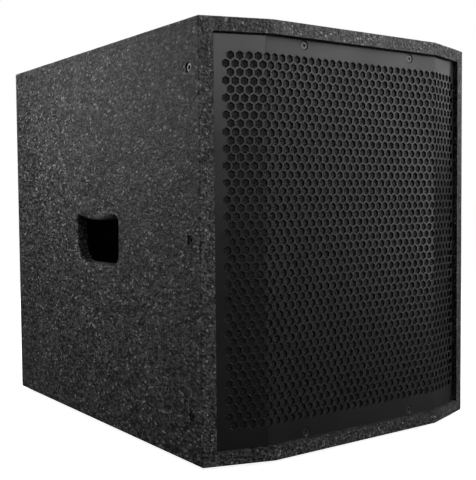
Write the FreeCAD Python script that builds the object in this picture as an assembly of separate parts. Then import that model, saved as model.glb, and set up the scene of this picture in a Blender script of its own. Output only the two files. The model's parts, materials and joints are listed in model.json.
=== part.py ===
import FreeCAD, Part
import math
import os
from FreeCAD import Rotation, Vector

# Passive bass-reflex subwoofer cabinet with one 15-inch driver behind a bowed steel grille.
# Millimetres, +Z up, the front faces -Y. The origin is at the centre of the footprint,
# on the plane that the rubber feet stand on.

# Cabinet
CABINET_WIDTH = 482.0
CABINET_HEIGHT = 554.0
CABINET_DEPTH = 620.0
PANEL = 18.0
EDGE_ROUNDING = 2.5
RIM_FOLD_X = 149.0
BOW_SLOPE = math.tan(math.radians(18.0))

# Feet
FOOT_HEIGHT = 7.0
FOOT_RADIUS = 19.0
FOOT_X = 185.0
FOOT_FRONT_Y = -225.0
FOOT_REAR_Y = 262.0

# Grille
GRILLE_RECESS = 8.5
GRILLE_FOLD_X = 154.5
GRILLE_HALF_WIDTH = 220.0
GRILLE_GAP = 1.0
GRILLE_SHEET = 1.6
GRILLE_RETURN = 7.0
GRILLE_SCREW_X = (-92.0, 102.0)
GRILLE_SCREW_INSET = 26.0
BATTEN_HEIGHT = 19.0
FOAM_THICKNESS = 6.0
FOAM_HALF_WIDTH = 213.0

# Hand holes, measured back from the front corner and up from the bottom panel's underside
HAND_FRONT = 214.0
HAND_REAR = 352.0
HAND_BOTTOM = 238.5
HAND_TOP = 311.0
HAND_TOP_SAG = 9.0
CUP_DEPTH = 62.0
CUP_LENGTH = 150.0
CUP_HEIGHT = 92.0
CUP_WALL = 3.0
CUP_FLANGE = 19.0

# Baffle, driver and ports
BAFFLE_SETBACK = 14.0
DRIVER_HEIGHT = 315.0
CUTOUT_RADIUS = 178.0
FLANGE_RADIUS = 193.5
BOLT_CIRCLE_RADIUS = 186.0
BOLT_COUNT = 8
PORT_X = 150.0
PORT_HEIGHT = 103.0
PORT_BORE = 48.0
PORT_WALL = 3.0
PORT_LENGTH = 120.0

# Rear connector dish and top pole socket
DISH_HEIGHT = 150.0
DISH_HALF_X = 60.0
DISH_HALF_Z = 40.0
DISH_DEPTH = 26.0
DISH_FLANGE = 18.0
DISH_WALL = 2.0
SOCKET_X = 26.0
SOCKET_BORE = 11.0
TAB_X = 7.0
TAB_Z = 5.0
POLE_BORE = 17.9
POLE_DEPTH = 88.0
POLE_FLANGE = 45.0
POLE_Y = -20.0

# Braces
BRACE_Y = 140.0
BRACE_WIDTH = 60.0
CROSS_BRACE_HEIGHT = 380.0

# Places worked out from the sizes above
HALF_WIDTH = CABINET_WIDTH / 2
FRONT_Y = -CABINET_DEPTH / 2
BACK_Y = CABINET_DEPTH / 2
BOTTOM_Z = FOOT_HEIGHT
TOP_Z = FOOT_HEIGHT + CABINET_HEIGHT
CORNER_Y = FRONT_Y + (HALF_WIDTH - RIM_FOLD_X) * BOW_SLOPE
INNER_X = HALF_WIDTH - PANEL
INNER_BOTTOM = BOTTOM_Z + PANEL
INNER_TOP = TOP_Z - PANEL
BAFFLE_Y = CORNER_Y + BAFFLE_SETBACK
BAFFLE_BACK_Y = BAFFLE_Y + PANEL
REAR_PANEL_Y = BACK_Y - PANEL
GRILLE_Y = FRONT_Y + GRILLE_RECESS
GRILLE_BOTTOM = INNER_BOTTOM + GRILLE_GAP
GRILLE_TOP = INNER_TOP - GRILLE_GAP
DRIVER_Z = BOTTOM_Z + DRIVER_HEIGHT
PORT_Z = BOTTOM_Z + PORT_HEIGHT
DISH_Z = BOTTOM_Z + DISH_HEIGHT
DISH_FLOOR_Y = BACK_Y - DISH_DEPTH
HAND_CENTRE_Y = CORNER_Y + (HAND_FRONT + HAND_REAR) / 2
CUP_BOTTOM = BOTTOM_Z + HAND_BOTTOM - 12.0
SIDE_SCREW_Y = BAFFLE_Y + PANEL / 2
SIDE_SCREW_HEIGHTS = (60.5, 281.5, 494.0)
SIDES = {"left": -1, "right": 1}


# Helpers

def block(x0, x1, y0, y1, z0, z1):
    """Box between two corners."""
    corner = Vector(min(x0, x1), min(y0, y1), min(z0, z1))
    return Part.makeBox(abs(x1 - x0), abs(y1 - y0), abs(z1 - z0), corner)


def prism(points, z0, z1):
    """Solid of a plan outline between two heights."""
    corners = [Vector(x, y, z0) for x, y in points]
    face = Part.Face(Part.makePolygon(corners + corners[:1]))
    return face.extrude(Vector(0, 0, z1 - z0))


def rod(x, y, z, radius, length, direction=Vector(0, 1, 0)):
    """Cylinder that starts at a point and runs along a direction."""
    return Part.makeCylinder(radius, length, Vector(x, y, z), direction)


def turned(profile, x, y, z, direction=Vector(0, 1, 0)):
    """Solid of revolution. The profile lists (radius, distance along the axis)."""
    points = [Vector(radius, 0, along) for radius, along in profile]
    face = Part.Face(Part.makePolygon(points + points[:1]))
    solid = face.revolve(Vector(0, 0, 0), Vector(0, 0, 1), 360)
    solid.Placement = FreeCAD.Placement(Vector(x, y, z), Rotation(Vector(0, 0, 1), direction))
    return solid


def driver_turned(profile):
    """Solid of revolution on the driver's axis, measured back from the baffle's front face."""
    return turned(profile, 0, BAFFLE_Y, DRIVER_Z)


def rounded(solid, radius, wanted):
    """Round the edges that a test picks."""
    return solid.makeFillet(radius, [edge for edge in solid.Edges if wanted(edge)])


def joined(solids):
    """Fuse solids into one and merge their flush faces."""
    return solids[0].fuse(solids[1:]).removeSplitter()


def on_circle(radius, count, start=0.0):
    """Points (x, z) of a bolt circle around the driver's axis."""
    points = []
    for step in range(count):
        angle = math.radians(start) + 2 * math.pi * step / count
        points.append((radius * math.cos(angle), DRIVER_Z + radius * math.sin(angle)))
    return points


def bow_y(x, front, fold):
    """Y of a bowed front surface at a distance from the centre plane."""
    return front + max(0.0, abs(x) - fold) * BOW_SLOPE


def bowed_strip(half_width, front_offset, back_offset):
    """Plan outline of a strip that follows the grille, by its distances behind the grille's face."""
    xs = (-half_width, -GRILLE_FOLD_X, GRILLE_FOLD_X, half_width)
    front = [(x, bow_y(x, GRILLE_Y, GRILLE_FOLD_X) + front_offset) for x in xs]
    back = [(x, bow_y(x, GRILLE_Y, GRILLE_FOLD_X) + back_offset) for x in reversed(xs)]
    return front + back


def flat_head_screw(x, y, z, direction, head, shank, length):
    """Countersunk screw with a hexagonal socket. It starts at the top of its head."""
    depth = head - shank
    profile = [(0, 0), (head, 0), (shank, depth), (shank, length - shank), (0.2, length), (0, length)]
    socket = Part.Face(Part.makePolygon([
        Vector(head * 0.5 * math.cos(math.radians(turn)), head * 0.5 * math.sin(math.radians(turn)), -1)
        for turn in range(0, 361, 60)
    ])).extrude(Vector(0, 0, 1 + depth * 0.7))
    socket.Placement = FreeCAD.Placement(Vector(x, y, z), Rotation(Vector(0, 0, 1), direction))
    return turned(profile, x, y, z, direction).cut(socket)


def screw_seat(x, y, z, direction, head, shank, length):
    """Hole for a countersunk screw, a hair wider than the screw."""
    ease = 0.05
    depth = head - shank
    profile = [
        (0, 0),
        (head + ease, 0),
        (shank + ease, depth),
        (shank + ease, length + ease),
        (0, length + ease),
    ]
    return turned(profile, x, y, z, direction)


def bend_radius(a, b, c):
    """Largest arc at a route's point: 0.45 of the shorter run over the tangent of half the turn."""
    turn = (b - a).getAngle(c - b)
    return 0.45 * min((b - a).Length, (c - b).Length) / math.tan(turn / 2), turn


def lead(name, route, radius):
    """Round wire along straight runs joined by tangent arcs."""
    points = [Vector(*point) for point in route]
    edges = []
    radii = []
    start = points[0]
    for a, b, c in zip(points, points[1:], points[2:]):
        arc_radius, turn = bend_radius(a, b, c)
        radii.append(arc_radius)
        trim = arc_radius * math.tan(turn / 2)
        entering = (b - a).normalize()
        leaving = (c - b).normalize()
        arc_start = b - entering * trim
        arc_end = b + leaving * trim
        towards_centre = (leaving - entering).normalize()
        middle = b + towards_centre * (arc_radius / math.cos(turn / 2) - arc_radius)
        edges.append(Part.LineSegment(start, arc_start).toShape())
        edges.append(Part.Arc(arc_start, middle, arc_end).toShape())
        start = arc_end
    edges.append(Part.LineSegment(start, points[-1]).toShape())
    path = Part.Wire(edges)
    section = Part.Wire(Part.makeCircle(radius, points[0], points[1] - points[0]))
    solid = path.makePipeShell([section], True, False)
    expected = math.pi * radius ** 2 * path.Length
    print(name, "length", round(path.Length, 1), "radii", [round(r, 1) for r in radii],
          "volume over section times length", round(solid.Volume / expected, 4))
    return solid


# Cabinet panels

def outline():
    """Plan outline of the cabinet, with its front in three flat facets."""
    return [
        (-HALF_WIDTH, BACK_Y),
        (-HALF_WIDTH, CORNER_Y),
        (-RIM_FOLD_X, FRONT_Y),
        (RIM_FOLD_X, FRONT_Y),
        (HALF_WIDTH, CORNER_Y),
        (HALF_WIDTH, BACK_Y),
    ]


def end_panel(z0, z1, outer_z):
    """Top or bottom panel, rounded along its outer edges and its upright corners."""
    def outer(edge):
        box = edge.BoundBox
        flat = abs(box.ZMin - outer_z) < 0.01 and abs(box.ZMax - outer_z) < 0.01
        corner = box.ZLength > PANEL - 0.1 and abs(box.XMin) > HALF_WIDTH - 0.1
        return flat or corner
    return rounded(prism(outline(), z0, z1), EDGE_ROUNDING, outer)


def pole_screw_places():
    """Places (x, y) of the four screws through the pole socket's flange."""
    reach = 33.0 * math.cos(math.radians(45))
    return [(sx * reach, POLE_Y + sy * reach) for sx in (-1, 1) for sy in (-1, 1)]


def top_panel():
    panel = end_panel(INNER_TOP, TOP_Z, TOP_Z)
    down = Vector(0, 0, -1)
    panel = panel.cut([
        rod(0, POLE_Y, TOP_Z, POLE_FLANGE + 0.3, 3.0, down),
        rod(0, POLE_Y, TOP_Z, POLE_BORE + 3.1, PANEL + 1, down),
    ])
    return panel.cut([
        screw_seat(x, y, TOP_Z, down, 4.0, 2.0, 16.0) for x, y in pole_screw_places()
    ])


def foot_places():
    """Names and centres (x, y) of the four feet."""
    return {
        "front_left_foot": (-FOOT_X, FOOT_FRONT_Y),
        "front_right_foot": (FOOT_X, FOOT_FRONT_Y),
        "rear_left_foot": (-FOOT_X, FOOT_REAR_Y),
        "rear_right_foot": (FOOT_X, FOOT_REAR_Y),
    }


def bottom_panel():
    panel = end_panel(BOTTOM_Z, INNER_BOTTOM, BOTTOM_Z)
    return panel.cut([
        rod(x, y, BOTTOM_Z, 2.05, 14.0, Vector(0, 0, 1)) for x, y in foot_places().values()
    ])


def hand_hole(side):
    """Tapered hand hole with a sagging top edge, cut right through a side panel."""
    front = CORNER_Y + HAND_FRONT
    rear = CORNER_Y + HAND_REAR
    low = BOTTOM_Z + HAND_BOTTOM
    high = BOTTOM_Z + HAND_TOP
    x = side * (HALF_WIDTH + 1)
    front_top = Vector(x, front, high)
    rear_top = Vector(x, rear, high)
    rear_low = Vector(x, rear - 7, low)
    front_low = Vector(x, front + 1.5, low)
    grip = Vector(x, (front + rear) / 2, high - HAND_TOP_SAG)
    wire = Part.Wire([
        Part.Arc(front_top, grip, rear_top).toShape(),
        Part.LineSegment(rear_top, rear_low).toShape(),
        Part.LineSegment(rear_low, front_low).toShape(),
        Part.LineSegment(front_low, front_top).toShape(),
    ])
    hole = Part.Face(wire).extrude(Vector(-side * (PANEL + 2), 0, 0))
    hole = rounded(hole, 10.0, lambda edge: (
        edge.BoundBox.XLength > PANEL and edge.BoundBox.ZMin > high - 1))
    hole = rounded(hole, 18.0, lambda edge: (
        edge.BoundBox.XLength > PANEL and edge.BoundBox.ZMax < low + 0.01
        and edge.BoundBox.YMax < HAND_CENTRE_Y))
    return rounded(hole, 26.0, lambda edge: (
        edge.BoundBox.XLength > PANEL and edge.BoundBox.ZMax < low + 0.01
        and edge.BoundBox.YMin > HAND_CENTRE_Y))


def side_screw_seats(side):
    """Seats of the three screws that hold the baffle's edge, each with a groove around the head."""
    profile = [(0, 0), (6.7, 0), (6.4, 2.4), (5.3, 2.4), (2.25, 5.45), (2.25, 45), (0, 45)]
    inward = Vector(-side, 0, 0)
    return [
        turned(profile, side * HALF_WIDTH, SIDE_SCREW_Y, BOTTOM_Z + height, inward)
        for height in SIDE_SCREW_HEIGHTS
    ]


def side_panel(side):
    """Side panel with its front edge on the swept facet and a rounded hand hole."""
    outer = side * HALF_WIDTH
    inner = side * INNER_X
    inner_front = FRONT_Y + (INNER_X - RIM_FOLD_X) * BOW_SLOPE
    panel = prism(
        [(outer, CORNER_Y), (outer, BACK_Y), (inner, BACK_Y), (inner, inner_front)],
        INNER_BOTTOM, INNER_TOP,
    )
    panel = rounded(panel, EDGE_ROUNDING, lambda edge: (
        edge.BoundBox.ZLength > 100 and abs(edge.BoundBox.XMin - outer) < 0.01))
    panel = panel.cut(hand_hole(side))

    def mouth(edge):
        box = edge.BoundBox
        in_hole = box.YMin > CORNER_Y + 200 and box.YMax < CORNER_Y + 420
        return in_hole and box.XLength < 0.01 and abs(box.XMin - outer) < 0.01
    panel = rounded(panel, 5.0, mouth)
    outward = Vector(side, 0, 0)
    pilots = [rod(inner, y, z, 1.95, 12.1, outward) for y, z in cup_screw_places()]
    return panel.cut(side_screw_seats(side) + pilots)


def rear_panel():
    """Rear panel between the sides, with a rebated cut-out for the connector dish."""
    panel = block(-INNER_X, INNER_X, REAR_PANEL_Y, BACK_Y, INNER_BOTTOM, INNER_TOP)
    half_x = DISH_HALF_X + DISH_WALL + 1
    half_z = DISH_HALF_Z + DISH_WALL + 1
    flange_x = DISH_HALF_X + DISH_FLANGE + 0.3
    flange_z = DISH_HALF_Z + DISH_FLANGE + 0.3
    panel = panel.cut([
        block(-half_x, half_x, REAR_PANEL_Y - 1, BACK_Y + 1, DISH_Z - half_z, DISH_Z + half_z),
        block(-flange_x, flange_x, BACK_Y - 4.0, BACK_Y + 1, DISH_Z - flange_z, DISH_Z + flange_z),
    ])
    forward = Vector(0, -1, 0)
    return panel.cut([
        screw_seat(x, BACK_Y, z, forward, 4.0, 1.8, 16.0) for x, z in dish_screw_places()
    ])


def baffle():
    """Front board with the driver's cut-out, two port holes and the fasteners' holes."""
    board = block(-INNER_X, INNER_X, BAFFLE_Y, BAFFLE_BACK_Y, INNER_BOTTOM, INNER_TOP)
    start = BAFFLE_Y - 1
    through = PANEL + 2
    holes = [rod(0, start, DRIVER_Z, CUTOUT_RADIUS, through)]
    for side in SIDES.values():
        holes.append(rod(side * PORT_X, start, PORT_Z, PORT_BORE + PORT_WALL, through))
        holes += side_screw_seats(side)
    for x, z in on_circle(BOLT_CIRCLE_RADIUS, BOLT_COUNT, 22.5):
        holes.append(rod(x, start, z, 4.0, through))
    return board.cut(holes)


def cross_brace():
    """Board that ties the side panels together."""
    z = BOTTOM_Z + CROSS_BRACE_HEIGHT
    return block(-INNER_X, INNER_X, BRACE_Y, BRACE_Y + PANEL, z, z + BRACE_WIDTH)


def upright_brace():
    """Board that ties the top and bottom panels together, glued to the cross brace."""
    half = BRACE_WIDTH / 2
    return block(-half, half, BRACE_Y + PANEL, BRACE_Y + 2 * PANEL, INNER_BOTTOM, INNER_TOP)


# Grille

def grille_screw_heights():
    """Heights of the lower and upper grille screws."""
    return (BOTTOM_Z + GRILLE_SCREW_INSET, TOP_Z - GRILLE_SCREW_INSET)


def grille_screw_places(heights):
    """Places (x, z) of the grille screws at the given heights."""
    return [(x, z) for z in heights for x in GRILLE_SCREW_X]


def grille():
    """Folded sheet in three facets with side returns and a countersunk dimple at each screw."""
    sheet = prism(bowed_strip(GRILLE_HALF_WIDTH, 0, GRILLE_SHEET), GRILLE_BOTTOM, GRILLE_TOP)
    edge_y = bow_y(GRILLE_HALF_WIDTH, GRILLE_Y, GRILLE_FOLD_X)
    pieces = [sheet]
    for side in (-1, 1):
        pieces.append(block(
            side * (GRILLE_HALF_WIDTH - GRILLE_SHEET), side * GRILLE_HALF_WIDTH,
            edge_y, edge_y + GRILLE_RETURN, GRILLE_BOTTOM, GRILLE_TOP))
    sheet = joined(pieces)
    sheet = rounded(sheet, 1.2, lambda edge: (
        edge.BoundBox.ZLength > 100
        and abs(edge.BoundBox.XMin) > GRILLE_HALF_WIDTH - 0.01
        and edge.BoundBox.YMax < edge_y + 0.01))
    places = grille_screw_places(grille_screw_heights())
    sheet = sheet.cut([rod(x, GRILLE_Y - 1, z, 6.0, GRILLE_SHEET + 2) for x, z in places])
    dimple = [(6.0, 0), (6.0, GRILLE_SHEET), (5.7, GRILLE_SHEET), (2.6, 4.7), (2.6, 3.1), (5.7, 0)]
    return joined([sheet] + [turned(dimple, x, GRILLE_Y, z) for x, z in places])


def batten(z0, height):
    """Wooden batten that fills the space between the baffle and one end of the grille."""
    half = FOAM_HALF_WIDTH
    front = bowed_strip(half, GRILLE_SHEET, 0)[:4]
    strip = prism(front + [(half, BAFFLE_Y), (-half, BAFFLE_Y)], z0, z0 + BATTEN_HEIGHT)
    seat = [(0, 0), (6.3, 0), (6.3, 0.5), (2.8, 4.0), (2.8, 10), (4.0, 10), (4.0, 26), (0, 26)]
    return strip.cut([
        turned(seat, x, GRILLE_Y + GRILLE_SHEET, z) for x, z in grille_screw_places((height,))
    ])


def grille_foam():
    """Acoustic foam sheet behind the perforated field, bent like the grille."""
    strip = bowed_strip(FOAM_HALF_WIDTH, GRILLE_SHEET + 0.2, GRILLE_SHEET + 0.2 + FOAM_THICKNESS)
    low = INNER_BOTTOM + BATTEN_HEIGHT + 0.5
    high = INNER_TOP - BATTEN_HEIGHT - 0.5
    return prism(strip, low, high)


def grille_screws():
    back = Vector(0, 1, 0)
    return Part.makeCompound([
        flat_head_screw(x, GRILLE_Y + 0.95, z, back, 4.7, 2.25, 25.0)
        for x, z in grille_screw_places(grille_screw_heights())
    ])


def grille_inserts():
    """Threaded inserts in the battens."""
    return Part.makeCompound([
        rod(x, GRILLE_Y + GRILLE_SHEET + 12, z, 3.95, 12).cut(
            rod(x, GRILLE_Y + GRILLE_SHEET + 11, z, 2.27, 14))
        for x, z in grille_screw_places(grille_screw_heights())
    ])


def baffle_screws(side):
    """Three countersunk wood screws through a side panel into the baffle's edge."""
    inward = Vector(-side, 0, 0)
    return Part.makeCompound([
        flat_head_screw(
            side * (HALF_WIDTH - 2.0), SIDE_SCREW_Y, BOTTOM_Z + height, inward, 5.6, 2.2, 42.5)
        for height in SIDE_SCREW_HEIGHTS
    ])


# Handle cups

def cup_screw_places():
    """Places (y, z) of the four screws through a handle cup's flange."""
    reach_y = (CUP_LENGTH + CUP_FLANGE) / 2 + CUP_WALL / 2
    reach_z = (CUP_HEIGHT + CUP_FLANGE) / 2 + CUP_WALL / 2
    middle_z = CUP_BOTTOM + CUP_HEIGHT / 2
    return [(HAND_CENTRE_Y + sy * reach_y, middle_z + sz * reach_z)
            for sy in (-1, 1) for sz in (-1, 1)]


def cup_block(side, grow, depth, radius):
    """Rounded block as large as a handle cup's inside, grown all round."""
    half = CUP_LENGTH / 2 + grow
    solid = block(
        side * INNER_X, side * (INNER_X - depth),
        HAND_CENTRE_Y - half, HAND_CENTRE_Y + half,
        CUP_BOTTOM - grow, CUP_BOTTOM + CUP_HEIGHT + grow)
    return rounded(solid, radius, lambda edge: edge.BoundBox.XLength > 1)


def handle_cup(side):
    """Moulded cup that closes a hand hole from inside, with a screwed flange."""
    shell = cup_block(side, CUP_WALL, CUP_DEPTH + CUP_WALL, 15.0)
    flange = cup_block(side, CUP_FLANGE, 3.0, 15.0)
    hollow = cup_block(side, 0.0, CUP_DEPTH, 12.0)
    inward = Vector(-side, 0, 0)
    holes = [rod(side * INNER_X, y, z, 2.05, 3.0, inward) for y, z in cup_screw_places()]
    return joined([shell, flange]).cut([hollow] + holes)


def cup_screws(side):
    """Pan-head screws that hold a handle cup's flange to its side panel."""
    outward = Vector(side, 0, 0)
    profile = [(0, -2.4), (2.6, -2.4), (3.8, -1.4), (4.0, 0), (1.9, 0), (1.9, 13), (0.2, 15), (0, 15)]
    return Part.makeCompound([
        turned(profile, side * (INNER_X - 3.0), y, z, outward) for y, z in cup_screw_places()
    ])


# Connector dish

def dish_screw_places():
    """Places (x, z) of the four screws through the dish's flange."""
    reach_x = DISH_HALF_X + DISH_FLANGE / 2 + 1
    reach_z = DISH_HALF_Z + DISH_FLANGE / 2 + 1
    return [(sx * reach_x, DISH_Z + sz * reach_z) for sx in (-1, 1) for sz in (-1, 1)]


def dish_block(grow, y0, y1, radius):
    """Rounded block around the dish's centre."""
    solid = block(
        -DISH_HALF_X - grow, DISH_HALF_X + grow, y0, y1,
        DISH_Z - DISH_HALF_Z - grow, DISH_Z + DISH_HALF_Z + grow)
    return rounded(solid, radius, lambda edge: (
        edge.BoundBox.YLength > 1 and edge.BoundBox.XLength < 0.01 and edge.BoundBox.ZLength < 0.01))


def input_dish():
    """Recessed steel dish for the two speaker sockets."""
    flange = dish_block(DISH_FLANGE, BACK_Y - 2.0, BACK_Y, 8.0)
    tub = dish_block(DISH_WALL, DISH_FLOOR_Y - DISH_WALL, BACK_Y - 1.0, 10.0)
    hollow = dish_block(0.0, DISH_FLOOR_Y, BACK_Y + 1.0, 8.0)
    dish = joined([flange, tub]).cut(hollow)
    holes = [rod(side * SOCKET_X, DISH_FLOOR_Y - 5, DISH_Z, 12.6, 10) for side in (-1, 1)]
    forward = Vector(0, -1, 0)
    holes += [rod(x, DISH_FLOOR_Y - 5, z, 1.55, 10) for x, z in socket_screw_places()]
    holes += [screw_seat(x, BACK_Y, z, forward, 4.0, 1.8, 16.0) for x, z in dish_screw_places()]
    return dish.cut(holes)


def input_dish_gasket():
    """Foam gasket between the dish's flange and the rear panel."""
    ring = dish_block(DISH_FLANGE, BACK_Y - 4.0, BACK_Y - 2.0, 8.0)
    hollow = dish_block(DISH_WALL + 1, BACK_Y - 5.0, BACK_Y - 1.0, 10.0)
    forward = Vector(0, -1, 0)
    seats = [screw_seat(x, BACK_Y, z, forward, 4.0, 1.8, 16.0) for x, z in dish_screw_places()]
    return ring.cut([hollow] + seats)


def input_dish_screws():
    forward = Vector(0, -1, 0)
    return Part.makeCompound([
        flat_head_screw(x, BACK_Y - 0.1, z, forward, 3.85, 1.75, 15.0)
        for x, z in dish_screw_places()
    ])


def socket_screw_places():
    """Places (x, z) of the two screws of each socket."""
    return [(side * SOCKET_X + turn * 9.5, DISH_Z + turn * 12.0)
            for side in (-1, 1) for turn in (-1, 1)]


def speaker_socket(side):
    """Twist-lock speaker socket: a square flange, a keyed round barrel and four tabs behind."""
    x = side * SOCKET_X
    flange = block(x - 13, x + 13, DISH_FLOOR_Y, DISH_FLOOR_Y + 3, DISH_Z - 15.5, DISH_Z + 15.5)
    flange = rounded(flange, 2.0, lambda edge: edge.BoundBox.YLength > 1)
    barrel = rod(x, DISH_FLOOR_Y - 24, DISH_Z, 12.5, 25)
    bore = rod(x, DISH_FLOOR_Y - 21, DISH_Z, SOCKET_BORE, 30)
    tabs = [block(x + dx - 2, x + dx + 2, DISH_FLOOR_Y - 33, DISH_FLOOR_Y - 23,
                  DISH_Z + dz - 0.4, DISH_Z + dz + 0.4)
            for dx in (-TAB_X, TAB_X) for dz in (-TAB_Z, TAB_Z)]
    key = [block(x + dx - 1, x + dx + 1, DISH_FLOOR_Y - 20, DISH_FLOOR_Y + 3,
                 DISH_Z - 1, DISH_Z + 1) for dx in (-11.5, 11.5)]
    holes = [rod(px, DISH_FLOOR_Y - 1, pz, 1.55, 5) for px, pz in socket_screw_places()]
    return joined([flange, barrel]).cut([bore] + key + holes).fuse(tabs)


def socket_screws():
    """Small pan-head screws that hold the speaker sockets."""
    profile = [(0, -1.6), (1.8, -1.6), (2.6, -0.8), (2.8, 0), (1.5, 0), (1.5, 9), (0, 9)]
    forward = Vector(0, -1, 0)
    return Part.makeCompound([
        turned(profile, x, DISH_FLOOR_Y + 3, z, forward) for x, z in socket_screw_places()
    ])


# Pole socket, feet and lining

def pole_socket():
    """Top-hat socket for a 35 mm speaker pole, flush in the top panel."""
    profile = [
        (POLE_BORE, 0), (POLE_FLANGE, 0), (POLE_FLANGE, 3), (POLE_BORE + 3, 3),
        (POLE_BORE + 3, POLE_DEPTH + 3), (0, POLE_DEPTH + 3), (0, POLE_DEPTH), (POLE_BORE, POLE_DEPTH),
    ]
    down = Vector(0, 0, -1)
    socket = turned(profile, 0, POLE_Y, TOP_Z, down)
    return socket.cut([
        screw_seat(x, y, TOP_Z, down, 4.0, 2.0, 16.0) for x, y in pole_screw_places()
    ])


def pole_socket_screws():
    down = Vector(0, 0, -1)
    return Part.makeCompound([
        flat_head_screw(x, y, TOP_Z - 0.1, down, 3.85, 1.95, 15.0) for x, y in pole_screw_places()
    ])


def foot(x, y):
    """Low rubber foot with a recessed screw hole."""
    profile = [
        (2.1, BOTTOM_Z), (FOOT_RADIUS, BOTTOM_Z), (FOOT_RADIUS - 2, 0), (6.0, 0),
        (6.0, 3.0), (2.1, 3.0),
    ]
    return turned(profile, x, y, 0, Vector(0, 0, 1))


def foot_screws():
    """Pan-head screws that hold the feet."""
    profile = [(0, 0.8), (4.0, 0.8), (4.8, 2.0), (4.8, 3.0), (2.0, 3.0), (2.0, 19), (0.2, 21), (0, 21)]
    up = Vector(0, 0, 1)
    return Part.makeCompound([turned(profile, x, y, 0, up) for x, y in foot_places().values()])


def side_lining(side):
    """Damping wadding on the rear half of a side panel."""
    return block(side * INNER_X, side * (INNER_X - 25), BRACE_Y + 2 * PANEL + 4, REAR_PANEL_Y - 2,
                 INNER_BOTTOM + 4, INNER_TOP - 30)


def top_lining():
    """Damping wadding under the top panel, behind the pole socket."""
    return block(-190, 190, POLE_Y + 40, BRACE_Y - 4, INNER_TOP - 25, INNER_TOP)


def rear_lining():
    """Damping wadding on the rear panel, above the connector dish."""
    low = DISH_Z + DISH_HALF_Z + DISH_FLANGE + 12
    return block(-190, 190, REAR_PANEL_Y - 25, REAR_PANEL_Y, low, INNER_TOP - 30)


# Port tubes

def port_tube(side):
    """Port tube with a rounded flange on the baffle's front face."""
    outer = PORT_BORE + PORT_WALL
    profile = [
        (PORT_BORE + 2, -3), (outer + 6, -3), (outer + 7, -2), (outer + 7, 0), (outer - 0.1, 0),
        (outer - 0.1, PORT_LENGTH), (PORT_BORE, PORT_LENGTH), (PORT_BORE, 0), (PORT_BORE + 0.6, -1.8),
    ]
    return turned(profile, side * PORT_X, BAFFLE_Y, PORT_Z)


# Driver. Distances run back from the baffle's front face.

MAGNET_FRONT = 92.0
PLATE = 10.0
MAGNET = 25.0
MAGNET_RADIUS = 110.0
COIL_INNER = 37.5
NECK_DEPTH = 50.0
SPIDER_DEPTH = 66.0
CONE_EDGE = 160.0
CONE_EDGE_DEPTH = -3.0
CAP_RADIUS = 55.0
CAP_DEPTH = 41.0


def driver_basket():
    """Cast frame: bolting flange, windowed cone, spider shelf and magnet seat."""
    profile = [
        (173, -6), (FLANGE_RADIUS, -6), (FLANGE_RADIUS, 0), (177, 0), (177, 6),
        (106, 68), (106, MAGNET_FRONT), (60, MAGNET_FRONT), (60, MAGNET_FRONT - 5), (101, MAGNET_FRONT - 5),
        (101, SPIDER_DEPTH + 4), (88, SPIDER_DEPTH + 4), (88, SPIDER_DEPTH + 0.6), (100, SPIDER_DEPTH + 0.6),
        (173, 3),
    ]
    frame = driver_turned(profile)
    window = block(-24, 24, BAFFLE_Y + 22, BAFFLE_Y + 58, DRIVER_Z + 95, DRIVER_Z + 175)
    cuts = []
    for step in range(8):
        cut = window.copy()
        cut.rotate(Vector(0, 0, DRIVER_Z), Vector(0, 1, 0), 45 * step)
        cuts.append(cut)
    for x, z in on_circle(BOLT_CIRCLE_RADIUS, BOLT_COUNT, 22.5):
        cuts.append(rod(x, BAFFLE_Y - 8, z, 3.3, 12))
    return frame.cut(cuts)


def driver_gasket():
    """Ring that clamps the surround's lip and seals against the bolts' heads."""
    ring = driver_turned([(180, -9), (FLANGE_RADIUS, -9), (FLANGE_RADIUS, -6), (180, -6)])
    return ring.cut([
        rod(x, BAFFLE_Y - 10, z, 3.3, 5) for x, z in on_circle(BOLT_CIRCLE_RADIUS, BOLT_COUNT, 22.5)
    ])


def driver_bolts():
    """Socket-head bolts through the gasket, flange and baffle."""
    profile = [(0, -12.2), (4.4, -12.2), (5.2, -11.2), (5.2, -9), (2.95, -9), (2.95, 26), (0, 26)]
    socket = [(0, -13), (2.3, -13), (2.3, -10.4), (0, -10.4)]
    return Part.makeCompound([
        turned(profile, x, BAFFLE_Y, z).cut(turned(socket, x, BAFFLE_Y, z))
        for x, z in on_circle(BOLT_CIRCLE_RADIUS, BOLT_COUNT, 22.5)
    ])


def driver_tee_nuts():
    """Tee nuts pressed into the back of the baffle."""
    profile = [(3.0, 8), (3.9, 8), (3.9, PANEL), (9.0, PANEL), (9.0, PANEL + 1.6), (3.0, PANEL + 1.6)]
    return Part.makeCompound([
        turned(profile, x, BAFFLE_Y, z) for x, z in on_circle(BOLT_CIRCLE_RADIUS, BOLT_COUNT, 22.5)
    ])


def magnet_top_plate():
    """Steel washer at the front of the magnetic gap."""
    back = MAGNET_FRONT + PLATE
    return driver_turned([(40.3, MAGNET_FRONT), (100, MAGNET_FRONT), (100, back), (40.3, back)])


def magnet_ring():
    """Ceramic ring magnet."""
    front = MAGNET_FRONT + PLATE
    back = front + MAGNET
    return driver_turned([
        (48, front), (MAGNET_RADIUS - 1, front), (MAGNET_RADIUS, front + 1),
        (MAGNET_RADIUS, back - 1), (MAGNET_RADIUS - 1, back), (48, back),
    ])


def magnet_yoke():
    """Back plate and vented pole piece in one turning."""
    plate_front = MAGNET_FRONT + PLATE + MAGNET
    return driver_turned([
        (14, MAGNET_FRONT - 2), (35.6, MAGNET_FRONT - 2), (36.6, MAGNET_FRONT - 1), (36.6, plate_front),
        (103, plate_front), (103, plate_front + 8), (99, plate_front + 12), (18, plate_front + 12),
        (14, plate_front + 8),
    ])


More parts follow.
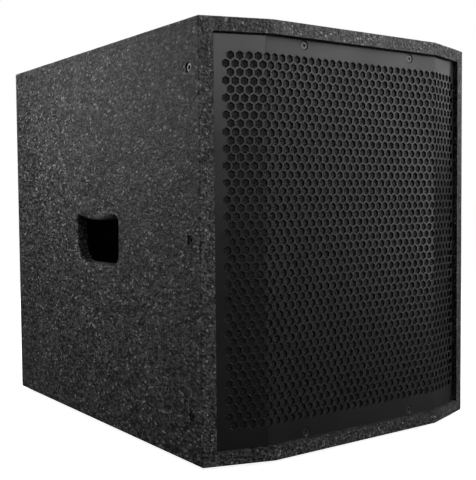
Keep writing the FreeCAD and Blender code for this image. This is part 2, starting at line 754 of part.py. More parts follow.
def surround():
    """Half-roll edge with a flat lip on the frame and another on the cone."""
    def roll(radius):
        return [(166 - radius * math.cos(math.radians(turn)), -5 - radius * math.sin(math.radians(turn)))
                for turn in range(0, 181, 15)]
    outer = [(154, -6)] + [(159.4, -6)] + roll(6.6)[1:-1] + [(172.6, -7.2), (179.6, -7.2)]
    inner = [(179.6, -6), (171.6, -6)] + list(reversed(roll(5.4)))[1:-1] + [(160.6, -4.8), (154, -4.8)]
    return driver_turned(outer + inner)


def spider():
    """Corrugated suspension disc between the coil former and the frame's shelf."""
    steps = 40
    start = COIL_INNER + 0.6
    end = 98.0
    front = []
    for step in range(steps + 1):
        radius = start + (end - start) * step / steps
        ripple = 2.4 * math.sin(math.pi * 10 * step / steps) * (1 if 2 < step < steps - 5 else 0)
        front.append((radius, SPIDER_DEPTH - 0.5 - ripple))
    back = [(radius, depth + 1.0) for radius, depth in reversed(front)]
    return driver_turned(front + back)


def cone():
    """Paper cone with a gently curved wall, glued to the coil former at its neck."""
    steps = 10
    front = []
    for step in range(steps + 1):
        share = step / steps
        radius = COIL_INNER + 0.55 + (CONE_EDGE - COIL_INNER - 0.55) * share
        depth = NECK_DEPTH + (CONE_EDGE_DEPTH - NECK_DEPTH) * share + 4.0 * math.sin(math.pi * share)
        front.append((radius, depth - 1.7))
    back = [(radius, depth + 1.7) for radius, depth in reversed(front)]
    return driver_turned(front + back)


def dust_cap():
    """Domed cap over the coil former, sitting on the cone."""
    def arc(lift):
        return [(CAP_RADIUS * math.sin(math.radians(turn)) / math.sin(math.radians(36)),
                 CAP_DEPTH - lift - 17.0 * (math.cos(math.radians(turn)) - math.cos(math.radians(36)))
                 / (1 - math.cos(math.radians(36))))
                for turn in range(0, 37, 6)]
    return driver_turned(arc(1.6) + list(reversed(arc(0.0))))


def coil_former():
    """Thin tube that carries the winding."""
    return driver_turned([
        (COIL_INNER, NECK_DEPTH - 3), (COIL_INNER + 0.5, NECK_DEPTH - 3),
        (COIL_INNER + 0.5, MAGNET_FRONT + 15), (COIL_INNER, MAGNET_FRONT + 15),
    ])


def coil_winding():
    """Copper winding centred in the gap."""
    middle = MAGNET_FRONT + PLATE / 2
    return driver_turned([
        (COIL_INNER + 0.5, middle - 9), (COIL_INNER + 1.7, middle - 9),
        (COIL_INNER + 1.7, middle + 9), (COIL_INNER + 0.5, middle + 9),
    ])


TERMINAL_Y = BAFFLE_Y + 78
TERMINAL_Z = DRIVER_Z - 112
TERMINAL_X = (-9.0, 9.0)


def driver_terminals():
    """Insulating block with two push terminals, under the frame."""
    block_half = 20.0
    base = block(-block_half, block_half, TERMINAL_Y - 7, TERMINAL_Y + 9, TERMINAL_Z - 8, DRIVER_Z - 103)
    base = base.cut(driver_turned([(0, 60), (106.05, 60), (106.05, 100), (0, 100)]))
    tabs = [block(x - 3, x + 3, TERMINAL_Y + 8, TERMINAL_Y + 20, TERMINAL_Z - 5, TERMINAL_Z - 4.2)
            for x in TERMINAL_X]
    return base.fuse(tabs)


# Wiring

def supply_lead(name, x):
    """Lead from the input socket, past the upright brace, to a driver terminal."""
    start_x = -SOCKET_X + math.copysign(TAB_X, x)
    start_z = DISH_Z + TAB_Z
    route = [
        (start_x, DISH_FLOOR_Y - 38, start_z),
        (start_x, DISH_FLOOR_Y - 58, start_z),
        (-50 + x, DISH_FLOOR_Y - 88, start_z + 6),
        (-58 + x, 150, DISH_Z + 26),
        (-54 + x, 90, DISH_Z + 36),
        (-40 + x, 20, DISH_Z + 40),
        (-24 + x, -45, DISH_Z + 43),
        (-8 + x, -95, DISH_Z + 46),
        (x, -130, TERMINAL_Z - 4.6),
        (x, TERMINAL_Y + 23, TERMINAL_Z - 4.6),
    ]
    return lead(name, route, 1.9)


def link_leads():
    """Two short jumpers between the input and link sockets."""
    jumpers = []
    for dx, drop in ((-TAB_X, 10), (TAB_X, 4)):
        y = DISH_FLOOR_Y - 34
        z = DISH_Z - TAB_Z - 1.8
        route = [
            (-SOCKET_X + dx, y + 1, z),
            (-SOCKET_X + dx, y - 10 - drop, z - 3),
            (-SOCKET_X + dx + 13, y - 16 - drop, z - 16 - drop),
            (SOCKET_X + dx - 13, y - 16 - drop, z - 16 - drop),
            (SOCKET_X + dx, y - 10 - drop, z - 3),
            (SOCKET_X + dx, y + 1, z),
        ]
        jumpers.append(lead("link_leads", route, 1.3))
    return Part.makeCompound(jumpers)


def lead_terminals():
    """Crimped receptacles on the ends of the supply leads."""
    def receptacle(x, y0, y1, z, half_width):
        """Sleeve with a slot for a flat tab. It opens at its first end."""
        sleeve = block(x - half_width, x + half_width, y0, y1, z - 1.8, z + 1.8)
        return sleeve.cut(block(x - half_width + 0.5, x + half_width - 0.5, y0, y1 - (y1 - y0) / 5,
                                z - 0.45, z + 0.45))
    ends = []
    for x in TERMINAL_X:
        tab_x = -SOCKET_X + math.copysign(TAB_X, x)
        ends.append(receptacle(x, TERMINAL_Y + 11, TERMINAL_Y + 23, TERMINAL_Z - 4.6, 3.6))
        ends.append(receptacle(tab_x, DISH_FLOOR_Y - 26, DISH_FLOOR_Y - 38, DISH_Z + TAB_Z, 2.6))
    return Part.makeCompound(ends)


def tinsel_leads():
    """Two flexible braids from the terminals to the cone."""
    braids = []
    for x in TERMINAL_X:
        route = [
            (x * 1.6, BAFFLE_Y + 52, DRIVER_Z - 111),
            (x * 1.6, BAFFLE_Y + 42, DRIVER_Z - 101),
            (x * 1.5, BAFFLE_Y + 45, DRIVER_Z - 88),
            (x * 1.4, BAFFLE_Y + 44, DRIVER_Z - 76),
            (x * 1.4, BAFFLE_Y + 38.7, DRIVER_Z - 72),
        ]
        braids.append(lead("tinsel_leads", route, 1.0))
    return Part.makeCompound(braids)


def build_nodes():
    """Every sub-part by the name of its node."""
    nodes = {
        "top_panel": top_panel(),
        "bottom_panel": bottom_panel(),
        "rear_panel": rear_panel(),
        "baffle": baffle(),
        "cross_brace": cross_brace(),
        "upright_brace": upright_brace(),
        "upper_grille_batten": batten(INNER_TOP - BATTEN_HEIGHT, TOP_Z - GRILLE_SCREW_INSET),
        "lower_grille_batten": batten(INNER_BOTTOM, BOTTOM_Z + GRILLE_SCREW_INSET),
        "grille": grille(),
        "grille_foam": grille_foam(),
        "grille_screws": grille_screws(),
        "grille_inserts": grille_inserts(),
        "input_dish": input_dish(),
        "input_dish_gasket": input_dish_gasket(),
        "input_dish_screws": input_dish_screws(),
        "input_socket": speaker_socket(-1),
        "link_socket": speaker_socket(1),
        "socket_screws": socket_screws(),
        "link_leads": link_leads(),
        "positive_lead": supply_lead("positive_lead", TERMINAL_X[1]),
        "negative_lead": supply_lead("negative_lead", TERMINAL_X[0]),
        "lead_terminals": lead_terminals(),
        "pole_socket": pole_socket(),
        "pole_socket_screws": pole_socket_screws(),
        "top_lining": top_lining(),
        "rear_lining": rear_lining(),
        "foot_screws": foot_screws(),
        "driver_basket": driver_basket(),
        "driver_gasket": driver_gasket(),
        "driver_bolts": driver_bolts(),
        "driver_tee_nuts": driver_tee_nuts(),
        "driver_terminals": driver_terminals(),
        "magnet_top_plate": magnet_top_plate(),
        "magnet_ring": magnet_ring(),
        "magnet_yoke": magnet_yoke(),
        "surround": surround(),
        "spider": spider(),
        "cone": cone(),
        "dust_cap": dust_cap(),
        "coil_former": coil_former(),
        "coil_winding": coil_winding(),
        "tinsel_leads": tinsel_leads(),
    }
    for name, side in SIDES.items():
        nodes[name + "_side_panel"] = side_panel(side)
        nodes[name + "_baffle_screws"] = baffle_screws(side)
        nodes[name + "_handle_cup"] = handle_cup(side)
        nodes[name + "_handle_cup_screws"] = cup_screws(side)
        nodes[name + "_port_tube"] = port_tube(side)
        nodes[name + "_lining"] = side_lining(side)
    for name, (x, y) in foot_places().items():
        nodes[name] = foot(x, y)
    return nodes


os.makedirs("parts", exist_ok=True)
for node_name, node_shape in build_nodes().items():
    node_shape.exportStep("parts/" + node_name + ".step")
    print(node_name, "solids", len(node_shape.Solids), "valid", node_shape.isValid(),
          "volume", round(node_shape.Volume / 1000, 2))
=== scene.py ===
import json
import math

import bmesh
import bpy
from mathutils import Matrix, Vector, kdtree, noise
from mathutils.geometry import delaunay_2d_cdt


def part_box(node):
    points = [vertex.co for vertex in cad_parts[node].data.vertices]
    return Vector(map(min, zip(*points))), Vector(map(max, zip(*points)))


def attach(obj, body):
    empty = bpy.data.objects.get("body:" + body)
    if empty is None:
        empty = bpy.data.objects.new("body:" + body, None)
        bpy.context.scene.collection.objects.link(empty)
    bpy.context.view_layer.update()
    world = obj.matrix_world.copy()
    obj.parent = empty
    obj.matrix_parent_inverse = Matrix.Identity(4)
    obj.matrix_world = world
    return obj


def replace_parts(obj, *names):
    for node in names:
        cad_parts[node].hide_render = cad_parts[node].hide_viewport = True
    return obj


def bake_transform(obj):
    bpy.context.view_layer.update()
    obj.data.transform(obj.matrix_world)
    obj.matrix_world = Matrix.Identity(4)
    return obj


# The looks of a bowed-grille subwoofer cabinet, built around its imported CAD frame.
# Metres, +Z up, the front faces -Y.

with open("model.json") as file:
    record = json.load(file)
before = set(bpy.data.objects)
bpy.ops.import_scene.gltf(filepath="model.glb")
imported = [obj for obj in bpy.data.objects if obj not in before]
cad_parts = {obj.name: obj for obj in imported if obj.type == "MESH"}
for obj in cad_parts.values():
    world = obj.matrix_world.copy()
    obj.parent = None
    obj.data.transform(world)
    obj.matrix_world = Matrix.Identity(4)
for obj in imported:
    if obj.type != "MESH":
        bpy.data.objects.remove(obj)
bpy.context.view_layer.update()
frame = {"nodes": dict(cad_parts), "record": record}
MM = 0.001

# Perforated sheet
HOLE_PITCH = 12.077 * MM
HOLE_WIDTH = 9.3 * MM
HOLE_ROWS = 45
PATTERN_SHIFT = 4.6 * MM
PATTERN_LIFT = 1.6 * MM
SHEET = 1.6 * MM
CHAMFER = 0.3 * MM
FOLD_X = 154.5 * MM
FOLD_ANGLE = math.radians(18)
FOLD_RADIUS = 6 * MM
CORNER_RADIUS = 1.8 * MM
RETURN_DEPTH = 7 * MM
SCREW_X = (-92 * MM, 102 * MM)
SCREW_INSET = 7 * MM
DIMPLE_RADIUS = 6.2 * MM

# Foam behind the sheet
FOAM_STEP = 3 * MM
FOAM_THICKNESS = 5.9 * MM
FOAM_EDGE_SINK = 1.2 * MM
FOAM_FACE_SINK = 0.4 * MM
FOAM_ROUGHNESS = 0.35 * MM
FOAM_GAP = 0.5 * MM
FOAM_EDGE_STEEPNESS = 40

# Wadding
WADDING_STEP = 5 * MM
WADDING_CROWN = 22 * MM
WADDING_RIPPLE = 28 * MM
STAPLE_REACH = 30 * MM

# Driver
DRIVER_AXIS = (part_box("cone")[0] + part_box("cone")[1]) / 2
BAFFLE_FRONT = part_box("baffle")[0].y
TURN_STEPS = 144

# Distances below this are taken as none
TOUCH = 1e-6


# Mesh helpers

def make_object(name, points, faces, smooth=False):
    """Object of a list of points and a list of faces."""
    mesh = bpy.data.meshes.new(name)
    mesh.from_pydata([tuple(point) for point in points], [], faces)
    mesh.validate()
    mesh.polygons.foreach_set("use_smooth", [smooth] * len(mesh.polygons))
    mesh.update()
    made = bpy.data.objects.new(name, mesh)
    bpy.context.scene.collection.objects.link(made)
    return made


def slab_faces(columns, rows):
    """Faces of a closed slab of two point grids, the first layer before the second."""
    width = columns + 1
    layer = width * (rows + 1)
    faces = []
    for row in range(rows):
        for column in range(columns):
            a = row * width + column
            faces.append([a, a + 1, a + width + 1, a + width])
            faces.append([layer + a + width, layer + a + width + 1, layer + a + 1, layer + a])
    border = [row * width for row in range(rows, -1, -1)]
    border += list(range(1, width))
    border += [row * width + columns for row in range(1, rows + 1)]
    border += [rows * width + column for column in range(columns - 1, 0, -1)]
    for a, b in zip(border, border[1:] + border[:1]):
        faces.append([b, a, layer + a, layer + b])
    return faces


def wobble(point, size, seed=0.0):
    """Smooth noise between about -1 and 1 at a place, with features of a given size."""
    return noise.noise(Vector(point) / size + Vector((seed, seed * 0.7, seed * 1.3)))


def clad(made, slot, body="cabinet"):
    """Give a new piece its material slot and the body it rides on."""
    made.data.materials.append(MATERIALS[slot])
    if body:
        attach(made, body)
    return made


# Materials

class Surface:
    """A material whose colour, roughness and relief come from noise in the object's own space."""

    def __init__(self, name, metallic=0.0, specular=0.5, sheen=0.0):
        self.material = bpy.data.materials.new(name)
        self.material.use_nodes = True
        self.tree = self.material.node_tree
        self.shader = self.tree.nodes["Principled BSDF"]
        self.shader.inputs["Metallic"].default_value = metallic
        self.shader.inputs["Specular IOR Level"].default_value = specular
        self.shader.inputs["Sheen Weight"].default_value = sheen
        self.place = self.node("TexCoord").outputs["Object"]

    def node(self, kind, **settings):
        """New shader node with its settings."""
        made = self.tree.nodes.new("ShaderNode" + kind)
        for name, value in settings.items():
            setattr(made, name, value)
        return made

    def link(self, source, target):
        """Wire one socket to another."""
        self.tree.links.new(source, target)

    def stretched(self, stretch, centre=(0, 0, 0)):
        """The place, moved to a centre and then stretched."""
        moved = self.node("VectorMath", operation="SUBTRACT")
        self.link(self.place, moved.inputs[0])
        moved.inputs[1].default_value = centre
        scaled = self.node("VectorMath", operation="MULTIPLY")
        self.link(moved.outputs[0], scaled.inputs[0])
        scaled.inputs[1].default_value = stretch
        return scaled.outputs[0]

    def noise(self, size, detail=3.0, stretch=(1, 1, 1), harsh=0.5):
        """Noise from 0 to 1 with features of a given size."""
        made = self.node("TexNoise")
        self.link(self.stretched(stretch), made.inputs["Vector"])
        made.inputs["Scale"].default_value = 1 / size
        made.inputs["Detail"].default_value = detail
        made.inputs["Roughness"].default_value = harsh
        return made.outputs["Fac"]

    def cells(self, size):
        """Distance to the nearest cell centre, for grain and pores of a given size."""
        made = self.node("TexVoronoi", feature="SMOOTH_F1")
        self.link(self.stretched((1, 1, 1)), made.inputs["Vector"])
        made.inputs["Scale"].default_value = 1 / size
        return made.outputs["Distance"]

    def grains(self, size, seed=0.0):
        """A random brightness for each grain, mostly near a half. Grains are longer from front to back."""
        made = self.node("TexVoronoi", feature="F1")
        self.link(self.stretched((1, 0.62, 1), (seed, 0, 0)), made.inputs["Vector"])
        made.inputs["Scale"].default_value = 1 / size
        return made.outputs["Color"]

    def wave(self, size, kind="BANDS", direction="X", centre=(0, 0, 0), distortion=0.0):
        """Repeated bands or rings with a given spacing."""
        made = self.node("TexWave", wave_type=kind)
        if kind == "BANDS":
            made.bands_direction = direction
        else:
            made.rings_direction = direction
        self.link(self.stretched((1, 1, 1), centre), made.inputs["Vector"])
        made.inputs["Scale"].default_value = 0.314 / size
        made.inputs["Distortion"].default_value = distortion
        made.inputs["Detail Scale"].default_value = 2.0
        return made.outputs["Fac"]

    def between(self, factor, low, high, start=0.3, end=0.7):
        """A value that goes from low to high as the factor goes from start to end."""
        made = self.node("MapRange")
        self.link(factor, made.inputs["Value"])
        for name, value in (("From Min", start), ("From Max", end), ("To Min", low), ("To Max", high)):
            made.inputs[name].default_value = value
        return made.outputs["Result"]

    def calculated(self, operation, first, second):
        """The result of a calculation with two values."""
        made = self.node("Math", operation=operation)
        self.link(first, made.inputs[0])
        self.link(second, made.inputs[1])
        return made.outputs[0]

    def product(self, first, second):
        """Two values multiplied."""
        return self.calculated("MULTIPLY", first, second)

    def total(self, first, second):
        """Two values added."""
        return self.calculated("ADD", first, second)

    def colours(self, factor, dark, light, start=0.3, end=0.7):
        """Colour that goes from dark to light with the factor."""
        made = self.node("ValToRGB")
        self.link(factor, made.inputs["Fac"])
        made.color_ramp.elements[0].position = start
        made.color_ramp.elements[0].color = (*dark, 1)
        made.color_ramp.elements[1].position = end
        made.color_ramp.elements[1].color = (*light, 1)
        return made.outputs["Color"]

    def over(self, base, top, mask):
        """The top colour laid over the base where the mask is high."""
        made = self.node("Mix", data_type="RGBA")
        self.link(mask, made.inputs["Factor"])
        self.link(base, made.inputs[6])
        self.link(top, made.inputs[7])
        return made.outputs[2]

    def edges(self, radius):
        """Mask that is high near the piece's edges."""
        bevel = self.node("Bevel", samples=4)
        bevel.inputs["Radius"].default_value = radius
        facing = self.node("VectorMath", operation="DOT_PRODUCT")
        self.link(bevel.outputs["Normal"], facing.inputs[0])
        self.link(self.node("NewGeometry").outputs["Normal"], facing.inputs[1])
        return self.between(facing.outputs["Value"], 1.0, 0.0, 0.7, 0.98)

    def finish(self, colour, rough, relief=()):
        """Wire the colour, the roughness and a chain of reliefs, each (height, depth)."""
        self.link(colour, self.shader.inputs["Base Color"])
        self.link(rough, self.shader.inputs["Roughness"])
        normal = None
        for height, depth in relief:
            bump = self.node("Bump")
            bump.inputs["Distance"].default_value = depth
            self.link(height, bump.inputs["Height"])
            if normal:
                self.link(normal, bump.inputs["Normal"])
            normal = bump.outputs["Normal"]
        if normal:
            self.link(normal, self.shader.inputs["Normal"])
        return self.material


def textured_paint():
    """Pebbly sprayed paint in black-grey with bright flecks, scuffed along the edges."""
    s = Surface("textured_paint", specular=0.5)
    pebbles = s.noise(3.4 * MM, 1.0)
    crumbs = s.noise(2.0 * MM, 2.0, harsh=0.6)
    blotches = s.noise(60 * MM, 3.0)
    speckle = s.total(s.between(pebbles, 0.0, 0.2, 0.40, 0.62),
                      s.between(s.grains(2.8 * MM), 0.0, 0.8, 0.34, 0.68))
    base = s.colours(s.product(speckle, s.between(blotches, 0.85, 1.15)),
                     (0.001, 0.001, 0.001), (0.082, 0.082, 0.0825), 0.14, 0.95)
    flecks = s.between(s.grains(2.4 * MM, 7.0), 0.0, 1.0, 0.78, 0.92)
    base = s.over(base, s.colours(crumbs, (0.17, 0.17, 0.17), (0.40, 0.40, 0.40)), flecks)
    worn = s.product(s.edges(2.0 * MM), s.between(s.noise(9 * MM, 5.0), 0.0, 0.6, 0.5, 0.72))
    colour = s.over(base, s.colours(crumbs, (0.08, 0.078, 0.075), (0.15, 0.146, 0.14)), worn)
    rough = s.between(s.noise(3.4 * MM), 0.34, 0.60)
    return s.finish(colour, rough, [(pebbles, 1.7 * MM), (crumbs, 1.4 * MM)])


def bare_plywood():
    """Birch plywood with long grain and its veneers showing on the edges."""
    s = Surface("bare_plywood", specular=0.3)
    grain = s.noise(3 * MM, 6.0, (0.05, 1, 1), 0.6)
    veneers = s.wave(1.4 * MM, "BANDS", "Y", distortion=0.4)
    base = s.colours(grain, (0.36, 0.24, 0.13), (0.60, 0.45, 0.29))
    colour = s.over(base, s.colours(grain, (0.26, 0.16, 0.08), (0.46, 0.32, 0.18)),
                    s.between(veneers, 0.0, 0.5))
    return s.finish(colour, s.between(grain, 0.55, 0.8), [(grain, 0.2 * MM)])


def grille_paint():
    """Satin powder coat on steel sheet with a fine orange peel."""
    s = Surface("grille_paint", specular=0.5)
    peel = s.noise(1.1 * MM, 2.0)
    cloud = s.noise(60 * MM, 4.0)
    base = s.colours(s.product(s.between(peel, 0.85, 1.15), s.between(cloud, 0.85, 1.15)),
                     (0.005, 0.005, 0.0052), (0.010, 0.010, 0.0102), 0.7, 1.3)
    chips = s.product(s.edges(0.6 * MM), s.between(s.noise(6 * MM, 5.0), 0.0, 0.6, 0.56, 0.72))
    colour = s.over(base, s.colours(peel, (0.14, 0.14, 0.138), (0.22, 0.22, 0.215)), chips)
    return s.finish(colour, s.between(cloud, 0.34, 0.44), [(peel, 0.06 * MM)])


def acoustic_foam():
    """Open-cell black foam."""
    s = Surface("acoustic_foam", specular=0.4, sheen=0.03)
    pores = s.cells(1.6 * MM)
    fluff = s.noise(0.9 * MM, 4.0, harsh=0.7)
    colour = s.colours(s.product(pores, fluff),
                       (0.002, 0.002, 0.002), (0.020, 0.020, 0.0203), 0.05, 0.50)
    return s.finish(colour, s.between(fluff, 0.45, 0.60), [(pores, 1.2 * MM), (fluff, 0.6 * MM)])


def screw_metal(name, dark, light, rough_low, rough_high):
    """Plated screws with turning marks, a little dull in places."""
    s = Surface(name, metallic=0.85)
    marks = s.noise(0.5 * MM, 3.0, (1, 0.3, 1))
    dull = s.noise(5 * MM, 4.0)
    colour = s.colours(s.product(marks, s.between(dull, 0.8, 1.2)), dark, light)
    return s.finish(colour, s.between(dull, rough_low, rough_high), [(marks, 0.04 * MM)])


def black_plastic():
    """Moulded black plastic with a spark-eroded grain."""
    s = Surface("black_plastic", specular=0.45)
    grain = s.cells(0.9 * MM)
    cloud = s.noise(30 * MM)
    colour = s.colours(cloud, (0.009, 0.009, 0.0095), (0.020, 0.020, 0.021))
    return s.finish(colour, s.between(grain, 0.42, 0.62, 0.1, 0.6), [(grain, 0.12 * MM)])


def dish_paint():
    """Black powder coat with a coarse wrinkle."""
    s = Surface("dish_paint", specular=0.5)
    wrinkle = s.noise(1.5 * MM, 3.0, harsh=0.65)
    base = s.colours(wrinkle, (0.018, 0.018, 0.019), (0.036, 0.036, 0.037))
    worn = s.product(s.edges(1.0 * MM), s.between(s.noise(5 * MM, 5.0), 0.0, 0.7, 0.55, 0.7))
    colour = s.over(base, s.colours(wrinkle, (0.20, 0.20, 0.195), (0.32, 0.32, 0.31)), worn)
    return s.finish(colour, s.between(wrinkle, 0.40, 0.60), [(wrinkle, 0.25 * MM)])


def rubber():
    """Moulded rubber with dust in its fine grain."""
    s = Surface("rubber", specular=0.35)
    grain = s.noise(0.8 * MM, 4.0, harsh=0.6)
    dust = s.noise(9 * MM, 5.0, harsh=0.6)
    base = s.colours(grain, (0.012, 0.012, 0.012), (0.026, 0.026, 0.026))
    colour = s.over(base, s.colours(grain, (0.05, 0.048, 0.045), (0.08, 0.077, 0.072)),
                    s.between(dust, 0.0, 0.6, 0.55, 0.75))
    return s.finish(colour, s.between(dust, 0.65, 0.9), [(grain, 0.15 * MM)])


def gasket_foam():
    """Closed-cell foam strip."""
    s = Surface("gasket_foam", specular=0.2)
    pores = s.cells(0.7 * MM)
    colour = s.colours(pores, (0.010, 0.010, 0.010), (0.040, 0.040, 0.041), 0.1, 0.6)
    return s.finish(colour, s.between(pores, 0.8, 0.95, 0.1, 0.6), [(pores, 0.3 * MM)])


def cast_frame():
    """Black-coated cast aluminium with a sandy skin."""
    s = Surface("cast_frame", metallic=0.3)
    sand = s.noise(0.9 * MM, 4.0, harsh=0.65)
    cloud = s.noise(25 * MM, 4.0)
    base = s.colours(s.product(sand, s.between(cloud, 0.8, 1.2)),
                     (0.022, 0.022, 0.024), (0.062, 0.062, 0.066))
    bare = s.product(s.edges(1.0 * MM), s.between(s.noise(4 * MM, 5.0), 0.0, 0.7, 0.55, 0.7))
    colour = s.over(base, s.colours(sand, (0.36, 0.36, 0.37), (0.5, 0.5, 0.51)), bare)
    return s.finish(colour, s.between(sand, 0.42, 0.62), [(sand, 0.25 * MM)])


def plated_steel():
    """Zinc-plated steel turned on a lathe."""
    s = Surface("plated_steel", metallic=1.0)
    rings = s.wave(0.6 * MM, "RINGS", "Y", DRIVER_AXIS, 0.6)
    cloud = s.noise(14 * MM, 5.0, harsh=0.6)
    colour = s.colours(cloud, (0.42, 0.43, 0.42), (0.62, 0.62, 0.58))
    return s.finish(colour, s.between(cloud, 0.26, 0.46), [(rings, 0.03 * MM)])


def magnet_ceramic():
    """Sintered ferrite, with grinding marks and chalky specks."""
    s = Surface("magnet_ceramic", specular=0.35)
    specks = s.noise(0.7 * MM, 5.0, harsh=0.75)
    ground = s.noise(2.5 * MM, 3.0, (1, 0.05, 1))
    colour = s.colours(s.product(specks, s.between(ground, 0.8, 1.2)),
                       (0.040, 0.040, 0.043), (0.12, 0.12, 0.125))
    return s.finish(colour, s.between(specks, 0.55, 0.8), [(specks, 0.1 * MM), (ground, 0.05 * MM)])


def cone_paper():
    """Ribbed black paper pulp with pale fibres."""
    s = Surface("cone_paper", specular=0.25, sheen=0.15)
    ribs = s.wave(9 * MM, "RINGS", "Y", DRIVER_AXIS)
    fibres = s.noise(1.2 * MM, 6.0, (1, 1, 0.35), 0.7)
    colour = s.colours(fibres, (0.016, 0.016, 0.016), (0.060, 0.059, 0.057), 0.35, 0.75)
    return s.finish(colour, s.between(fibres, 0.7, 0.92), [(ribs, 0.8 * MM), (fibres, 0.25 * MM)])


def woven(name, dark, light, thread, depth, sheen):
    """Plain-woven cloth, stiffened with resin."""
    s = Surface(name, specular=0.3, sheen=sheen)
    across = s.wave(thread, "BANDS", "X", distortion=0.15)
    along = s.wave(thread, "BANDS", "Z", distortion=0.15)
    weave = s.product(across, along)
    stain = s.noise(12 * MM, 4.0)
    colour = s.colours(s.total(weave, s.between(stain, -0.2, 0.2)), dark, light, 0.1, 0.8)
    return s.finish(colour, s.between(stain, 0.6, 0.85), [(weave, depth)])


def former_paper():
    """Varnished paper tube with a spiral seam."""
    s = Surface("former_paper", specular=0.5)
    seam = s.wave(11 * MM, "BANDS", "DIAGONAL")
    fibres = s.noise(1.0 * MM, 5.0, (1, 0.3, 1), 0.6)
    colour = s.colours(s.product(fibres, s.between(seam, 0.85, 1.1)), (0.40, 0.30, 0.17), (0.72, 0.60, 0.40))
    return s.finish(colour, s.between(fibres, 0.3, 0.5), [(fibres, 0.05 * MM)])


def copper():
    """Enamelled copper, close-wound."""
    s = Surface("copper", metallic=1.0)
    turns = s.wave(0.45 * MM, "BANDS", "Y")
    cloud = s.noise(4 * MM, 4.0)
    colour = s.colours(s.product(cloud, s.between(turns, 0.75, 1.2)), (0.42, 0.15, 0.06), (0.83, 0.42, 0.22))
    return s.finish(colour, s.between(cloud, 0.22, 0.4), [(turns, 0.2 * MM)])


def cable_jacket(name, dark, light):
    """Soft cable insulation, slightly chalky."""
    s = Surface(name, specular=0.45)
    chalk = s.noise(6 * MM, 5.0, harsh=0.6)
    grain = s.noise(0.6 * MM, 3.0)
    colour = s.colours(chalk, dark, light)
    return s.finish(colour, s.between(chalk, 0.38, 0.6), [(grain, 0.05 * MM)])


def wadding():
    """Polyester wadding: white crimped fibres."""
    s = Surface("wadding", specular=0.15, sheen=0.5)
    fibres = s.noise(1.8 * MM, 8.0, (1, 1, 0.3), 0.75)
    tufts = s.noise(14 * MM, 4.0, harsh=0.6)
    colour = s.colours(s.product(fibres, s.between(tufts, 0.8, 1.2)), (0.50, 0.50, 0.48), (0.82, 0.82, 0.80))
    return s.finish(colour, s.between(fibres, 0.85, 1.0), [(tufts, 3 * MM), (fibres, 1.2 * MM)])


MATERIALS = {
    "textured_paint": textured_paint(),
    "bare_plywood": bare_plywood(),
    "grille_paint": grille_paint(),
    "acoustic_foam": acoustic_foam(),
    # Dark black-zinc screw metal, also used as painted shade: on the side baffle screws its darkness stands
    # in for the shade in their recesses
    "blackened_screw": screw_metal(
        "blackened_screw", (0.05, 0.05, 0.051), (0.15, 0.15, 0.153), 0.30, 0.48),
    "bright_screw": screw_metal("bright_screw", (0.45, 0.45, 0.43), (0.70, 0.70, 0.68), 0.22, 0.4),
    "brass_insert": screw_metal("brass_insert", (0.55, 0.40, 0.14), (0.80, 0.62, 0.30), 0.22, 0.4),
    "black_plastic": black_plastic(),
    "dish_paint": dish_paint(),
    "rubber": rubber(),
    "gasket_foam": gasket_foam(),
    "cast_frame": cast_frame(),
    "plated_steel": plated_steel(),
    "magnet_ceramic": magnet_ceramic(),
    "cone_paper": cone_paper(),
    "surround_cloth": woven(
        "surround_cloth", (0.014, 0.014, 0.015), (0.052, 0.052, 0.055), 0.9 * MM, 0.15 * MM, 0.2),
    "spider_cloth": woven(
        "spider_cloth", (0.30, 0.19, 0.08), (0.58, 0.42, 0.22), 0.8 * MM, 0.2 * MM, 0.1),
    "former_paper": former_paper(),
    "copper": copper(),
    "red_cable": cable_jacket("red_cable", (0.30, 0.012, 0.010), (0.44, 0.03, 0.025)),
    "black_cable": cable_jacket("black_cable", (0.010, 0.010, 0.010), (0.024, 0.024, 0.024)),
    "wadding": wadding(),
}


def clothe_frame():
    """Give every CAD node the material of its slot."""
    for part in frame["record"]["subparts"]:
        data = frame["nodes"][part["node"]].data
        data.materials.clear()
        data.materials.append(MATERIALS[part["material_slot"]])


# Grille

def sheet_runs():
    """Lengths along half of the sheet, from the middle, with the turn over each."""
    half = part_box("grille")[1].x
    fold_trim = FOLD_RADIUS * math.tan(FOLD_ANGLE / 2)
    corner_turn = math.pi / 2 - FOLD_ANGLE
    corner_trim = CORNER_RADIUS * math.tan(corner_turn / 2)
    facet = (half - FOLD_X) / math.cos(FOLD_ANGLE)
    return [
        (FOLD_X - fold_trim, 0.0),
        (FOLD_RADIUS * FOLD_ANGLE, FOLD_ANGLE),
        (facet - fold_trim - corner_trim, 0.0),
        (CORNER_RADIUS * corner_turn, corner_turn),
        (RETURN_DEPTH - corner_trim, 0.0),
    ]


SHEET_RUNS = sheet_runs()
GRILLE_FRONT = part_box("grille")[0].y


def sheet_place(along, z, depth):
    """Point on the folded sheet, from its distance along the sheet, its height and its depth."""
    x = y = heading = 0.0
    left = abs(along)
    for run, turn in SHEET_RUNS:
        step = min(left, run)
        if turn:
            after = heading + turn * step / run
            x += (math.sin(after) - math.sin(heading)) * run / turn
            y += (math.cos(heading) - math.cos(after)) * run / turn
            heading = after
        else:
            x += step * math.cos(heading)
            y += step * math.sin(heading)
        left -= step
    x -= depth * math.sin(heading)
    y += depth * math.cos(heading)
    return Vector((math.copysign(x, along), GRILLE_FRONT + y, z))


def hole_centres(middle):
    """Centres of the staggered holes, along the sheet and up."""
    centres = []
    for row in range(-(HOLE_ROWS // 2), HOLE_ROWS // 2 + 1):
        count = 35 if row % 2 == 0 else 36
        for column in range(count):
            centres.append((
                PATTERN_SHIFT + (column - (count - 1) / 2) * HOLE_PITCH,
                middle + PATTERN_LIFT + row * HOLE_PITCH * math.sqrt(0.75),
            ))
    return centres


def ring(centre, radius, count):
    """Points of a regular polygon with a corner at the top."""
    return [
        Vector((centre[0] + radius * math.sin(2 * math.pi * step / count),
                centre[1] + radius * math.cos(2 * math.pi * step / count)))
        for step in range(count)
    ]


